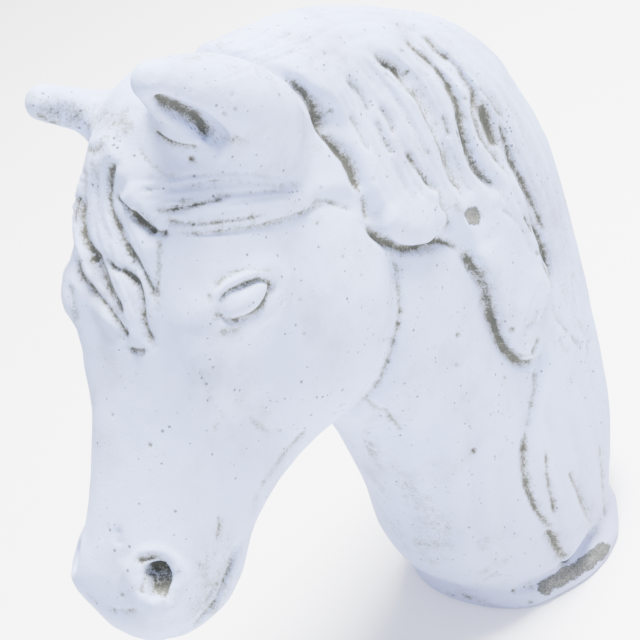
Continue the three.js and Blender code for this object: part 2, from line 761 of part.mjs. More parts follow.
const sculpt = new Thinner(new Tracer(casting, figureBox, surfaceStep).trace()).thinTo(triangleBudget);
const castingSolid = toSolid(toGeometry(sculpt)).subtract(toSolid(mergeVertices(ground)));

const paintedConcrete = new THREE.MeshStandardMaterial({ color: 0xdfe2f0, roughness: 0.9, metalness: 0 });
const horseHead = new THREE.Mesh(fromSolid(castingSolid), paintedConcrete);
horseHead.name = 'horse_head_casting';

const statue = new THREE.Group();
statue.add(horseHead);
export default statue;
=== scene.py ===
# %% [markdown]
# # Horse head garden statue
# The real object is one casting: a horse's head on its arched neck, poured in concrete, painted white
# and left outdoors. The solid that is loaded here already has its outline, pose and large carving.
# This script gives it the surface that a caster's mould and some years of weather give: fine strands
# of hair, lids and lips, air-bubble pits, dirt in every crease and bare patches where the paint failed.
# Some of the darkness in the deepest creases, under overhangs, and towards the ground is painted shade.

# %% Load the solid casting
import math

import bmesh
import bpy
import numpy as np
from mathutils import Matrix, Vector, noise
from mathutils.bvhtree import BVHTree


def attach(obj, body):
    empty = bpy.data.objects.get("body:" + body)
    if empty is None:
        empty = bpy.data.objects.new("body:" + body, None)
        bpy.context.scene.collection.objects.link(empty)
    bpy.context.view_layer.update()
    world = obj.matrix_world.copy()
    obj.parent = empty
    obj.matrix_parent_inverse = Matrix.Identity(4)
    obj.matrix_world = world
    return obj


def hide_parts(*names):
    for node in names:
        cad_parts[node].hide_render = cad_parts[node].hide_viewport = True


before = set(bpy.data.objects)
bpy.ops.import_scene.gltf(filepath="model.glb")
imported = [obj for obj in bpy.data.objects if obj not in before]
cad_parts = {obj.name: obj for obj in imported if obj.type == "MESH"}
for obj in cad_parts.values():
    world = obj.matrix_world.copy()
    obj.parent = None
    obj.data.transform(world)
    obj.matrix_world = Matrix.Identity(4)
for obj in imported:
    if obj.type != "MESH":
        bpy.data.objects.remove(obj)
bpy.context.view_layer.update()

# %% [markdown]
# ## The camera
# The photograph looks down on the horse's left cheek, with the camera rolled clockwise. A camera is an
# object whose columns are its right, its up and the way back to the lens. They are worked out from
# three angles, because angles are easier to correct than a matrix.

# %% Place the camera
PHOTO_SIZE = 640
SENSOR_WIDTH = 36
LENS = 81
camera_azimuth = math.radians(47.09)
camera_elevation = math.radians(33.005)
camera_roll = math.radians(-22.011)
camera_distance = 0.8098
camera_target = Vector((0, -0.09568, 0.26786))

level_right = Vector((math.cos(camera_azimuth), math.sin(camera_azimuth), 0))
view_back = Vector((
    math.sin(camera_azimuth) * math.cos(camera_elevation),
    -math.cos(camera_azimuth) * math.cos(camera_elevation),
    math.sin(camera_elevation),
))
level_up = view_back.cross(level_right)
view_right = level_right * math.cos(camera_roll) + level_up * math.sin(camera_roll)
view_up = view_back.cross(view_right)
camera_place = camera_target + view_back * camera_distance

camera_data = bpy.data.cameras.new("camera")
camera_data.lens = LENS
camera_data.sensor_width = SENSOR_WIDTH
camera = bpy.data.objects.new("camera", camera_data)
bpy.context.collection.objects.link(camera)
camera.matrix_world = Matrix.Translation(camera_place) @ Matrix(
    (view_right, view_up, view_back)).transposed().to_4x4()
bpy.context.scene.camera = camera
print("camera at", [round(value, 3) for value in camera_place])

# %% [markdown]
# ## A surface fine enough to carve
# The solid has large flat triangles. A voxel remesh lays an even net of small squares over a copy of
# it, and smoothing melts the facets away, which leaves clay that is ready for the fine tools. A
# subdivision surface would keep the facets' edges as ripples.

# %% Copy the solid and remesh it
VOXEL = 0.0012
NODE = "horse_head_casting"


def apply_modifier(piece, kind, **settings):
    """Runs one modifier on a piece and keeps its result."""
    modifier = piece.modifiers.new(kind.lower(), kind)
    for name, value in settings.items():
        setattr(modifier, name, value)
    bpy.context.view_layer.update()
    depsgraph = bpy.context.evaluated_depsgraph_get()
    result = bpy.data.meshes.new_from_object(piece.evaluated_get(depsgraph))
    piece.modifiers.clear()
    piece.data = result


bm = bmesh.new()
bm.from_mesh(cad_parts[NODE].data)
bmesh.ops.remove_doubles(bm, verts=bm.verts, dist=1e-6)
casting_mesh = bpy.data.meshes.new("painted_casting")
bm.to_mesh(casting_mesh)
bm.free()
casting = bpy.data.objects.new("painted_casting", casting_mesh)
bpy.context.collection.objects.link(casting)
apply_modifier(casting, "REMESH", mode="VOXEL", voxel_size=VOXEL)
print("points after the remesh", len(casting.data.vertices))

# %% [markdown]
# Every point is moved at once, as one array. The class below holds the points and the edges between
# them, and smooths any value by averaging it with its neighbours.

# %% Smooth the facets away
def smoothstep(low, high, value):
    """0 at low, 1 at high, smooth between."""
    share = np.clip((value - low) / (high - low), 0, 1)
    return share * share * (3 - 2 * share)


class Skin:
    """A piece's points, and the edges that join them."""

    def __init__(self, piece):
        self.mesh = piece.data
        self.points = self.read("vertices", "co", 3)
        self.ends = self.read("edges", "vertices", 2).astype(int)
        self.degree = np.bincount(self.ends.ravel(), minlength=len(self.points))

    def read(self, layer, name, width):
        items = getattr(self.mesh, layer)
        values = np.empty(len(items) * width)
        items.foreach_get(name, values)
        return values.reshape(-1, width)

    def write(self):
        self.points[:, 2] = np.maximum(self.points[:, 2], 0)
        self.mesh.vertices.foreach_set("co", self.points.ravel())
        self.mesh.update()

    def normals(self):
        self.write()
        return self.read("vertices", "normal", 3)

    def averaged(self, values, rounds, amount=0.5):
        first, second = self.ends.T
        total = len(self.points)
        columns = values.reshape(total, -1).T
        for _ in range(rounds):
            columns = [
                column + amount * (
                    (np.bincount(first, column[second], total) + np.bincount(second, column[first], total))
                    / self.degree - column)
                for column in columns
            ]
        return np.stack(columns, 1).reshape(values.shape)


MELT_ROUNDS = 10
SHRINK = 0.6      # each round pulls the points in and swells them back, so the form keeps its size
SWELL = -0.62
LAST_ROUNDS = 4
NORMAL_ROUNDS = 12

skin = Skin(casting)
for _ in range(MELT_ROUNDS):
    skin.points = skin.averaged(skin.points, 1, SHRINK)
    skin.points = skin.averaged(skin.points, 1, SWELL)
skin.points = skin.averaged(skin.points, LAST_ROUNDS)
normals = skin.averaged(skin.normals(), NORMAL_ROUNDS)
normals /= np.linalg.norm(normals, axis=1)[:, None]
print("height after smoothing", round(float(skin.points[:, 2].max()), 4))

# %% [markdown]
# ## Carving by the photograph
# Each stroke below is a line in the photograph's own pixels, so it can be read off the picture. Every
# point of the surface is looked up in that picture through the camera. The far side isn't seen, so it
# looks up the same strokes through the camera's mirror image and takes them shallower. What only the
# near side has is marked near_only.

# %% Find each point's pixel, and what the camera sees of it
FAR_SIDE_SHARE = 0.6
CREST_FADE = (-0.010, 0.002)   # where the far side's carving gives way to the near side's, in x
SEEN_FACING = (0.0, 0.22)      # how squarely a point has to face the camera
RAY_REACH = 0.3
FOCAL = PHOTO_SIZE * LENS / SENSOR_WIDTH


def pixels_of(points, side):
    """Where points lie in the photograph, from the camera (side 1) or its mirror image (side -1)."""
    towards = points * (side, 1, 1) - np.array(camera_place)
    depth = -towards @ np.array(view_back)
    across = FOCAL * (towards @ np.array(view_right)) / depth
    down = -FOCAL * (towards @ np.array(view_up)) / depth
    return PHOTO_SIZE / 2 + np.stack([across, down], 1)


def seen_from(tree, side):
    """How well the camera, or its mirror image, sees each point, from 0 to 1."""
    lens = np.array(camera_place) * (side, 1, 1)
    towards = lens - skin.points
    towards /= np.linalg.norm(towards, axis=1)[:, None]
    facing = (normals * towards).sum(1)
    seen = smoothstep(*SEEN_FACING, facing)
    for index in np.flatnonzero(facing > 0):
        start = Vector(skin.points[index] + normals[index] * 2 * VOXEL)
        if tree.ray_cast(start, Vector(towards[index]), RAY_REACH)[0]:
            seen[index] = 0
    return skin.averaged(seen, 2)


tree = BVHTree.FromObject(casting, bpy.context.evaluated_depsgraph_get())
near_share = smoothstep(*CREST_FADE, skin.points[:, 0])
pixels = {side: pixels_of(skin.points, side) for side in (1, -1)}
seen = {side: seen_from(tree, side) for side in (1, -1)}
print("points seen from the camera", int((seen[1] > 0.5).sum()))

# %% [markdown]
# A stroke is a smooth curve with a width in pixels, a depth in millimetres and the dirt that has
# settled in it, from 0 to 1; in creases under overhangs that value also paints their shadow. A step
# raises the surface on one side of its line, as the edge of a lock of hair does. A dab is a soft oval:
# a lump, a pit or a stain.

# %% Curves, and how near to a curve each point lies
def curve_through(points, parts=6):
    """A Catmull-Rom curve through points."""
    knots = np.array(points, float)
    knots = np.vstack([2 * knots[0] - knots[1], knots, 2 * knots[-1] - knots[-2]])
    t = np.linspace(0, 1, parts, endpoint=False)[:, None]
    runs = []
    for a, b, c, d in zip(knots[:-3], knots[1:-2], knots[2:-1], knots[3:]):
        runs.append(0.5 * (2 * b + (c - a) * t + (2 * a - 5 * b + 4 * c - d) * t ** 2
                           + (3 * b - a - 3 * c + d) * t ** 3))
    return np.vstack(runs + [knots[-2:-1]])


def measured(line, places):
    """The distance of places from a line, the side that they lie on, and the share along it."""
    away = np.full(len(places), np.inf)
    hand = np.zeros(len(places))
    share = np.zeros(len(places))
    for index, (start, end) in enumerate(zip(line[:-1], line[1:])):
        run = end - start
        offset = places - start
        t = np.clip(offset @ run / max(run @ run, 1e-9), 0, 1)
        distance = np.hypot(*(offset - t[:, None] * run).T)
        closer = distance < away
        away[closer] = distance[closer]
        hand[closer] = np.sign(run[0] * offset[closer, 1] - run[1] * offset[closer, 0])
        share[closer] = (index + t[closer]) / (len(line) - 1)
    return away, hand, share


def near_line(line, places, reach):
    """Which places lie in the line's box, widened by reach pixels."""
    low = line.min(0) - reach
    high = line.max(0) + reach
    return np.flatnonzero(((places > low) & (places < high)).all(1))


def tapered(share, length):
    """0 at both ends of a line, and 1 from that share of its length inwards."""
    return smoothstep(0, length, share) * smoothstep(0, length, 1 - share)


print("a curve through 3 points has", len(curve_through([(0, 0), (1, 1), (2, 0)])), "points")

# %% The layers that the strokes add up in
CORE_BREADTH = 0.7     # breadths as shares of a stroke's width
GROOVE_BREADTH = 1.7
STAIN_BREADTH = 2.3
STAIN_SHARE = 0.40     # of a stroke's dirt, against its core
STROKE_TAPER = 0.12    # shares of a line's length
SOFT_TAPER = 0.2
END_DEPTH = 0.3        # how much of a stroke is left at its ends
WEAR_EDGE = (1.9, 0.4)  # where worn ground begins and is complete, in half widths
MILLIMETRE = 1e-3


class Layers:
    """What the strokes add up to: height in metres, dirt with some painted shadow, and bareness from 0 to
    1.
    """

    def __init__(self):
        total = len(skin.points)
        self.cut = np.zeros(total)
        self.rise = np.zeros(total)
        self.dirt = np.zeros(total)
        self.bare = np.zeros(total)

    def weights(self, side, near_only):
        if near_only:
            return seen[side] if side == 1 else np.zeros(len(skin.points))
        share = near_share if side == 1 else (1 - near_share) * FAR_SIDE_SHARE
        return seen[side] * share

    def stroke(self, width, depth, dirt, points, near_only=False):
        line = curve_through(points)
        for side in (1, -1):
            found = near_line(line, pixels[side], 3 * STAIN_BREADTH * width)
            away, _, share = measured(line, pixels[side][found])
            ends = END_DEPTH + (1 - END_DEPTH) * tapered(share, STROKE_TAPER)
            shown = ends * self.weights(side, near_only)[found]
            groove = np.exp(-(away / (GROOVE_BREADTH * width)) ** 2) * shown
            stain = np.exp(-(away / (STAIN_BREADTH * width)) ** 2) * shown
            core = np.exp(-(away / (CORE_BREADTH * width)) ** 2) * shown
            settled = dirt * (STAIN_SHARE * stain + (1 - STAIN_SHARE) * core)
            self.cut[found] = np.maximum(self.cut[found], groove * depth * MILLIMETRE)
            self.dirt[found] = np.maximum(self.dirt[found], settled)

    def strokes(self, rows, near_only=False):
        """Each row is a width, a depth, the dirt (in some creases painted shadow too) and the line's
        points.
        """
        for width, depth, dirt, points in rows:
            self.stroke(width, depth, dirt, points, near_only)

    def ridge(self, width, height, points, near_only=False):
        """A soft rope of clay along a line."""
        line = curve_through(points)
        for side in (1, -1):
            found = near_line(line, pixels[side], 3 * width)
            away, _, share = measured(line, pixels[side][found])
            shown = tapered(share, SOFT_TAPER) * self.weights(side, near_only)[found]
            self.rise[found] += np.exp(-(away / width) ** 2) * shown * height * MILLIMETRE

    def wear(self, half_width, points):
        """Takes the paint off a strip of the near side, down to bare concrete."""
        line = curve_through(points)
        found = near_line(line, pixels[1], 2 * half_width)
        away = measured(line, pixels[1][found])[0] / half_width
        amount = smoothstep(*WEAR_EDGE, away) * self.weights(1, True)[found]
        self.bare[found] = np.maximum(self.bare[found], amount)

    def steps(self, rows, near_only=False):
        """Each row is a width, a height, how far the height fades, a pixel on the raised side, a line."""
        for width, height, reach, inside, points in rows:
            line = curve_through(points)
            raised_hand = measured(line, np.array([inside], float))[1][0]
            for side in (1, -1):
                found = near_line(line, pixels[side], 2.5 * reach)
                away, hand, share = measured(line, pixels[side][found])
                signed = away * hand * raised_hand
                fading = np.exp(-(np.maximum(signed, 0) / reach) ** 2)
                shown = tapered(share, SOFT_TAPER) * self.weights(side, near_only)[found]
                self.rise[found] += smoothstep(-width, width, signed) * fading * shown * height * MILLIMETRE

    def dabs(self, rows, near_only=False):
        """Each row is a place, a size, a height (below zero for a pit), the dirt and a turn."""
        for place, size, height, dirt, turn in rows:
            angle = math.radians(turn)
            for side in (1, -1):
                offset = pixels[side] - place
                u = (offset[:, 0] * math.cos(angle) + offset[:, 1] * math.sin(angle)) / size[0]
                v = (offset[:, 1] * math.cos(angle) - offset[:, 0] * math.sin(angle)) / size[1]
                found = np.flatnonzero(u * u + v * v < 9)
                amount = np.exp(-(u[found] ** 2 + v[found] ** 2)) * self.weights(side, near_only)[found]
                self.rise[found] += amount * height * MILLIMETRE
                self.dirt[found] = np.maximum(self.dirt[found], dirt * amount)


layers = Layers()
print("layers for", len(layers.cut), "points")

# %% [markdown]
# ## The mane
# The mane falls in three locks. The strands were drawn in the clay with a wire tool, close together
# near the crest, and they run out towards the ends of the locks.

# %% Strands of the mane
mane_strands = [
    (2.6, 2.0, 0.5, [(348, 77), (356, 88), (365, 98), (371, 113)]),
    (2.6, 1.8, 0.5, [(350, 113), (358, 126), (364, 138), (371, 151)]),
    (2.6, 1.8, 0.5, [(376, 119), (383, 133), (388, 144), (394, 156)]),
    (2.4, 1.6, 0.4, [(380, 105), (390, 120), (395, 134)]),
    (3.1, 3.1, 0.8, [(371, 50), (386, 62), (398, 70), (410, 85), (421, 98), (429, 115), (436, 130),
                     (444, 148), (449, 164), (456, 181), (463, 194)]),
    (2.4, 1.6, 0.5, [(385, 71), (400, 83), (413, 95)]),
    (2.6, 2.3, 0.7, [(406, 149), (419, 169), (428, 181), (438, 193)]),
    (3.1, 3.4, 0.9, [(400, 28), (413, 42), (426, 55), (441, 70), (451, 86), (459, 103), (462, 120),
                     (463, 133), (469, 151), (477, 168), (487, 179), (499, 189)]),
    (2.9, 2.9, 0.7, [(416, 30), (431, 40), (441, 52), (456, 63), (466, 78), (474, 91), (476, 113),
                     (482, 133), (491, 148), (502, 163), (516, 178)]),
    (2.6, 2.1, 0.7, [(479, 85), (492, 100), (499, 111), (506, 118)]),
    (2.9, 2.9, 0.8, [(499, 118), (504, 133), (512, 159), (521, 176), (529, 194), (539, 216), (545, 234)]),
    (2.4, 1.8, 0.6, [(443, 113), (448, 128), (450, 138)]),
    (2.6, 2.9, 0.9, [(525, 211), (534, 227), (542, 242), (547, 260), (549, 286)]),
    (2.4, 1.3, 0.2, [(501, 207), (516, 219), (527, 235), (533, 255)]),
    (2.6, 1.6, 0.3, [(440, 42), (462, 62), (482, 84), (500, 108), (514, 140), (530, 176), (545, 212)]),
    (2.9, 1.6, 0.2, [(455, 40), (486, 70), (510, 104), (530, 146), (550, 200), (563, 250)]),
    (2.4, 1.4, 0.3, [(452, 148), (458, 165), (466, 182), (472, 194)]),
]
layers.strokes(mane_strands)
print("strands in the mane", len(mane_strands))

# %% [markdown]
# Between the drawn strands lie many fine ones. A row of them follows from its first and its last: each
# strand between is a share of the way from one to the other.

# %% Fine strands in rows
def resampled(points, count=9):
    """The same curve with that many points, at even steps."""
    line = curve_through(points)
    at = np.linspace(0, len(line) - 1, count)
    return np.stack([np.interp(at, range(len(line)), column) for column in line.T], 1)


def strand_row(first, last, count, width, depth, dirt, near_only=False):
    """Draws strands at even spaces between two lines."""
    first = resampled(first)
    last = resampled(last)
    for share in (np.arange(count) + 1) / (count + 1):
        layers.stroke(width, depth, dirt, first + (last - first) * share, near_only)


crest_strand = [(430, 20), (476, 58), (520, 108), (552, 175), (575, 250), (590, 330), (602, 420)]
back_strand = [(416, 30), (456, 63), (482, 100), (506, 140), (530, 195), (547, 240), (560, 300)]
inner_strand = [(400, 28), (441, 70), (462, 120), (477, 168), (499, 189)]
middle_strand = [(371, 50), (410, 85), (436, 130), (449, 164), (463, 194)]
outer_strand = [(340, 50), (375, 100), (405, 149), (425, 180), (438, 200)]
front_strand = [(318, 62), (335, 100), (352, 140), (368, 180), (385, 215)]
poll_upper_strand = [(205, 62), (240, 48), (275, 32), (315, 18)]
poll_lower_strand = [(225, 84), (255, 72), (285, 60), (318, 50)]
mane_rows = [
    (crest_strand, back_strand, 5, 1.8, 0.9, 0.22),
    (back_strand, inner_strand, 2, 1.6, 0.7, 0.25),
    (inner_strand, middle_strand, 3, 1.8, 0.8, 0.18),
    (middle_strand, outer_strand, 3, 1.8, 0.7, 0.16),
    (outer_strand, front_strand, 4, 1.8, 0.7, 0.14),
    (poll_upper_strand, poll_lower_strand, 4, 1.8, 0.6, 0.30),
]
for row in mane_rows:
    strand_row(*row)
print("rows of fine strands", len(mane_rows))

# %% [markdown]
# The locks' ends stand proud of the neck, so each has a step along its edge and a gutter under it,
# painted dark as the shadow that the lock's end casts. Between two locks is a round pit whose paint is
# gone.

# %% Ends of the locks
first_lock_end = [(366, 222), (380, 234), (393, 241), (406, 244), (423, 241), (444, 237)]
first_lock_side = [(428, 181), (438, 193), (440, 206), (446, 216), (447, 231)]
first_lock_gutter = [(366, 224), (380, 238), (393, 246), (406, 249), (423, 246), (442, 241), (462, 250)]
second_lock_edge = [
    (462, 246), (467, 257), (475, 270), (484, 287), (487, 304), (495, 322), (503, 341), (512, 353),
    (522, 360), (533, 357), (538, 349), (539, 338),
]
second_lock_back = [(549, 262), (550, 285), (546, 297), (541, 310), (535, 326)]
second_lock_gutter = [
    (462, 249), (468, 257), (477, 271), (486, 287), (489, 303), (495, 324), (502, 342), (512, 355),
    (523, 362), (536, 356),
]
lock_steps = [
    (3, 4.5, 34, (410, 215), first_lock_end),
    (2.5, 2.0, 20, (425, 210), first_lock_side),
    (3.5, 4.6, 30, (515, 300), second_lock_edge),
    (2.5, 3.0, 20, (530, 290), second_lock_back),
]
# The gutters' full dirt is painted shadow under the locks' ends.
lock_strokes_with_painted_shadow = [
    (3.2, 3.6, 1.0, first_lock_gutter),
    (2.0, 0.8, 0.7, first_lock_side),
    (4.2, 3.6, 1.0, second_lock_gutter),
    (2.0, 0.8, 0.7, [(508, 345), (520, 352), (534, 346), (539, 336)]),
    (2.0, 1.0, 0.5, [(535, 307), (533, 321), (525, 329)]),
    (6.0, 2.6, 1.0, [(482, 104), (486, 113), (491, 133), (498, 148)]),
]
lock_dabs = [
    ((479, 273), (7, 18), -1.5, 0.8, -32),
    ((491, 308), (6, 16), 0, 0.5, -15),
    ((486, 110), (6, 10), 0, 0.8, -25),
    ((457, 205), (22, 13), 0, 0.3, 0),
]
round_pit = ((474, 216), (7, 7), -2.6, 0.35, 0)
round_pit_wear = [(473, 215), (475, 217)]
WEAR_HALF_WIDTH = 7
layers.steps(lock_steps)
layers.strokes(lock_strokes_with_painted_shadow)
layers.dabs(lock_dabs)
layers.dabs([round_pit], near_only=True)
layers.wear(WEAR_HALF_WIDTH, round_pit_wear)
print("edges on the locks", len(lock_steps))

# %% [markdown]
# The crack behind the ear parts the mane from the head: a deep, dirty stroke that is widest half way
# down. The lowest lock ends above the foot, over a slot that has lost its paint.

# %% The crack behind the ear, the lowest lock and the foot's slot
crack_line = [
    (289, 79), (300, 87), (310, 98), (318, 112), (325, 130), (338, 146), (348, 160), (357, 181), (364, 198),
]
crack_dabs = [
    ((322, 122), (6, 14), -1.5, 0.75, -25),
    ((338, 148), (6, 16), -1.0, 0.65, -35),
]
lowest_lock = [(526, 430), (524, 458), (525, 475), (529, 491), (536, 507), (545, 520), (552, 530)]
lowest_lock_tip = [(558, 545), (564, 556)]
neck_strokes = [
    (3.6, 3.8, 1.0, crack_line),
    (2.2, 1.2, 0.5, [(363, 196), (365, 210), (367, 222)]),
    (2.2, 1.2, 0.4, [(535, 366), (535, 384), (533, 400), (530, 415), (526, 432)]),
    (2.6, 2.2, 0.9, lowest_lock),
    (5.0, 3.4, 1.0, [(549, 527), (557, 545), (563, 556), (569, 561)]),
    (2.4, 1.8, 0.8, [(546, 448), (546, 466), (548, 484), (551, 499), (553, 514)]),
    (2.4, 1.8, 0.7, [(569, 470), (574, 481), (580, 495), (585, 509), (592, 526)]),
    (2.2, 1.0, 0.5, [(600, 440), (603, 472), (605, 500), (606, 520)]),
    (2.2, 1.2, 0.5, [(553, 304), (558, 318), (562, 324), (574, 338), (584, 353)]),
    (2.2, 1.2, 0.4, [(575, 312), (584, 330), (592, 345)]),
    (2.4, 1.2, 0.9, [(436, 582), (455, 592), (474, 601)]),
]
foot_pit_places = [(514, 591), (531, 587), (530, 602)]
foot_pits = [(place, (4, 3), -0.6, 0.8, 0) for place in foot_pit_places]
slot_line = [(545, 588), (560, 580), (582, 566), (603, 550)]
layers.steps([(3, 3.0, 30, (560, 500), lowest_lock + lowest_lock_tip)])
layers.strokes(neck_strokes)
layers.strokes([(6.0, 2.0, 0.25, slot_line)], near_only=True)
layers.dabs(crack_dabs + foot_pits)
layers.wear(WEAR_HALF_WIDTH, slot_line)
print("strokes on the neck", len(neck_strokes))

# %% [markdown]
# ## The forelock and the swept band
# Between the ears the hair parts. One side falls straight down the forehead in wavy strands, and the
# other is swept back over the brow in a thick band. The forelock crosses the middle of the forehead and
# is seen nearly whole, so it is drawn once and not mirrored.

# %% Strands of the forelock
forelock_edge = [(157, 238), (159, 251), (158, 280), (157, 290), (158, 309)]
forelock_strands = [
    (3.2, 3.2, 0.8, [(118, 165), (110, 168), (108, 184), (109, 209), (117, 228), (123, 244), (133, 261),
                     (144, 276), (152, 290), (157, 309)]),
    (3.5, 3.2, 0.8, [(83, 192), (80, 213), (82, 236), (89, 251), (96, 259), (106, 288), (114, 303),
                     (122, 322)]),
    (3.2, 3.0, 0.8, [(73, 251), (77, 274), (92, 292), (108, 311), (121, 332), (126, 339)]),
    (3.2, 3.2, 0.9, [(97, 251), (110, 267), (123, 272), (135, 284), (140, 297), (142, 315), (147, 334),
                     (153, 347)]),
    (3.2, 2.4, 0.8, [(78, 194), (72, 213), (70, 226)]),
    (2.8, 1.9, 0.7, [(127, 349), (136, 351), (145, 352)]),
    (2.8, 1.4, 0.6, [(69, 284), (72, 305), (76, 324)]),
    (2.8, 1.4, 0.2, [(96, 170), (96, 195), (101, 222), (112, 245)]),
    (2.0, 0.8, 0.8, forelock_edge),
]
forelock_far_strand = [(80, 190), (72, 220), (74, 255), (90, 290), (112, 320), (126, 342)]
forelock_near_strand = [(128, 180), (132, 215), (143, 245), (155, 275), (156, 310), (150, 345)]
forelock_hollow = ((91, 260), (5, 7), -1.6, 1.0, 0)
layers.strokes(forelock_strands, near_only=True)
strand_row(forelock_far_strand, forelock_near_strand, 7, 1.9, 1.0, 0.22, near_only=True)
layers.steps([(2.5, 2.0, 12, (150, 300), forelock_edge + [(152, 345)])], near_only=True)
layers.dabs([forelock_hollow], near_only=True)
print("strands in the forelock", len(forelock_strands))

# %% [markdown]
# The band overhangs the crease where it leaves the forelock, so that crease is painted as the darkest
# place on the face: its dirt there is painted shadow. Its lower edge is a step over the brow.

# %% The band over the brow
band_upper_strand = [(128, 172), (165, 168), (210, 164), (260, 168), (310, 186)]
band_lower_strand = [(160, 228), (194, 230), (232, 226), (283, 214), (330, 200)]
band_edge = [
    (167, 232), (194, 233), (214, 231), (232, 229), (250, 226), (262, 224), (283, 217), (299, 212),
    (312, 208), (330, 203),
]
band_front = [(114, 190), (127, 205), (140, 217), (152, 227), (167, 233)]
# The crease's full dirt is painted shadow under the overhanging band.
crease_strokes_with_painted_shadow = [
    (5.0, 3.6, 1.0, [(132, 209), (140, 218), (149, 225), (158, 231)]),
    (2.6, 2.0, 1.0, [(114, 194), (127, 206), (152, 228), (170, 234)]),
]
band_strokes = [
    (3.0, 2.2, 0.8, [(154, 211), (175, 209), (194, 205), (209, 201), (228, 197)]),
    (2.6, 1.8, 0.7, [(158, 218), (179, 223), (202, 224), (223, 221), (248, 217), (264, 213)]),
    (2.4, 1.4, 0.6, band_edge),
    (2.2, 1.0, 0.3, [(150, 190), (175, 188), (205, 182), (235, 180), (262, 184)]),
    (2.2, 1.2, 0.6, [(300, 211), (310, 206), (318, 201), (330, 202), (342, 206), (355, 212)]),
]
band_dabs = [
    ((188, 201), (10, 5), 0, 0.7, -8),
    ((221, 195), (9, 3), 0, 0.6, -5),
    ((149, 190), (4, 2.5), -0.6, 0.5, 0),
    ((192, 159), (4, 4), -0.9, 0.9, 0),
]
strand_row(band_upper_strand, band_lower_strand, 5, 1.9, 0.9, 0.20)
layers.steps([(3, 2.6, 22, (240, 195), band_edge)])
layers.steps([(3.5, 4.0, 26, (165, 195), band_front)], near_only=True)
layers.strokes(crease_strokes_with_painted_shadow, near_only=True)
layers.strokes(band_strokes)
layers.dabs(band_dabs)
print("strokes on the band", len(band_strokes) + len(crease_strokes_with_painted_shadow))

# %% [markdown]
# ## The ears
# The near ear is a thick horn with a deep slot. The slot's floor is pale, and under its overhanging
# upper wall the slot is painted black as shadow. The ground between the ears and the far ear's back are
# grey with dirt.

# %% The near ear's slot and the dirty ground between the ears
ear_steps = [(3, 1.6, 9, (172, 132), [(152, 128), (169, 139), (184, 144), (205, 146)])]
# The slot's stroke, with full dirt, is painted shadow under the ear's upper wall.
ear_strokes_with_painted_shadow = [
    (4.0, 5.0, 1.0, [(152, 100), (167, 106), (181, 112), (195, 120), (206, 130), (213, 139)]),
    (2.4, 1.6, 0.9, [(152, 130), (161, 136), (169, 141), (184, 146), (204, 146)]),
    (3.6, 0.8, 1.0, [(30, 112), (52, 124), (75, 139), (94, 151), (104, 140)]),
    (2.2, 0.5, 0.6, [(138, 144), (148, 161), (167, 175), (182, 175)]),
]
ear_stains = [
    ((237, 141), (14, 6), 0, 0.6, 0),
    ((62, 112), (42, 16), 0, 0.52, 16),
    ((112, 122), (26, 24), 0, 0.56, 0),
    ((92, 170), (12, 26), 0, 0.36, 15),
]
ear_pit_places = [(176, 95), (191, 91), (225, 114), (236, 109), (233, 95)]
ear_pits = [(place, (2.2, 2.2), -0.9, 0.9, 0) for place in ear_pit_places]
layers.steps(ear_steps, near_only=True)
layers.strokes(ear_strokes_with_painted_shadow, near_only=True)
layers.dabs(ear_stains + ear_pits, near_only=True)
print("strokes on the ears", len(ear_strokes_with_painted_shadow))

# %% [markdown]
# ## The eye
# The eye is a plain almond ball, as carvers leave it, with a groove all round and a second crease over
# the lid. The groove is a closed stroke through the almond's corners.

# %% The eyeball, its lids and the creases around it
eye_line = [
    (218, 309), (221, 300), (227, 292), (237, 287), (248, 282), (258, 279), (267, 281), (271, 285),
    (267, 297), (259, 309), (248, 316), (237, 320), (227, 320), (221, 315), (218, 309),
]
upper_lid = [(210, 306), (217, 294), (228, 283), (241, 276), (255, 273), (268, 276), (278, 284)]
lower_lid = [(220, 326), (238, 328), (254, 321), (266, 311), (274, 299), (278, 288)]
eye_strokes = [
    (2.2, 2.4, 0.8, eye_line),
    (2.6, 1.2, 0.5, [(214, 289), (222, 280), (235, 273), (250, 269), (264, 271), (274, 276)]),
    (2.4, 0.8, 0.8, [(210, 294), (210, 303)]),
    (2.4, 0.9, 0.8, [(219, 333), (230, 331), (240, 329)]),
]
eye_dabs = [
    ((245, 300), (24, 15), 3.2, 0, -35),
    ((217, 317), (5, 7), 0, 0.55, 0),
    ((219, 262), (7, 3), -0.5, 0.3, -25),
    ((292, 251), (3, 5), 0, 0.35, 0),
    ((290, 267), (3, 5), 0, 0.35, 0),
    ((286, 288), (3, 5), 0, 0.35, 0),
]
layers.strokes(eye_strokes)
layers.steps([(3.0, 1.0, 9, (246, 276), [(216, 300), (227, 289), (248, 279), (267, 278), (275, 284)])])
layers.ridge(4.5, 1.3, upper_lid)
layers.ridge(4.5, 1.0, lower_lid)
layers.dabs(eye_dabs)
print("creases around the eye", len(eye_strokes))

# %% [markdown]
# ## The muzzle and the cheek
# The nostril is a flared cup with a hole at its top, painted dark as the shadow of the cup's upper rim.
# Only the near one is seen, so its dirt, its painted shadow and its rim stay on the near side, over the
# plain cup that the solid has on both.

# %% The near nostril
nostril_rim = [
    (131, 592), (127, 575), (134, 559), (150, 551), (167, 554), (180, 567), (185, 584), (180, 600),
]
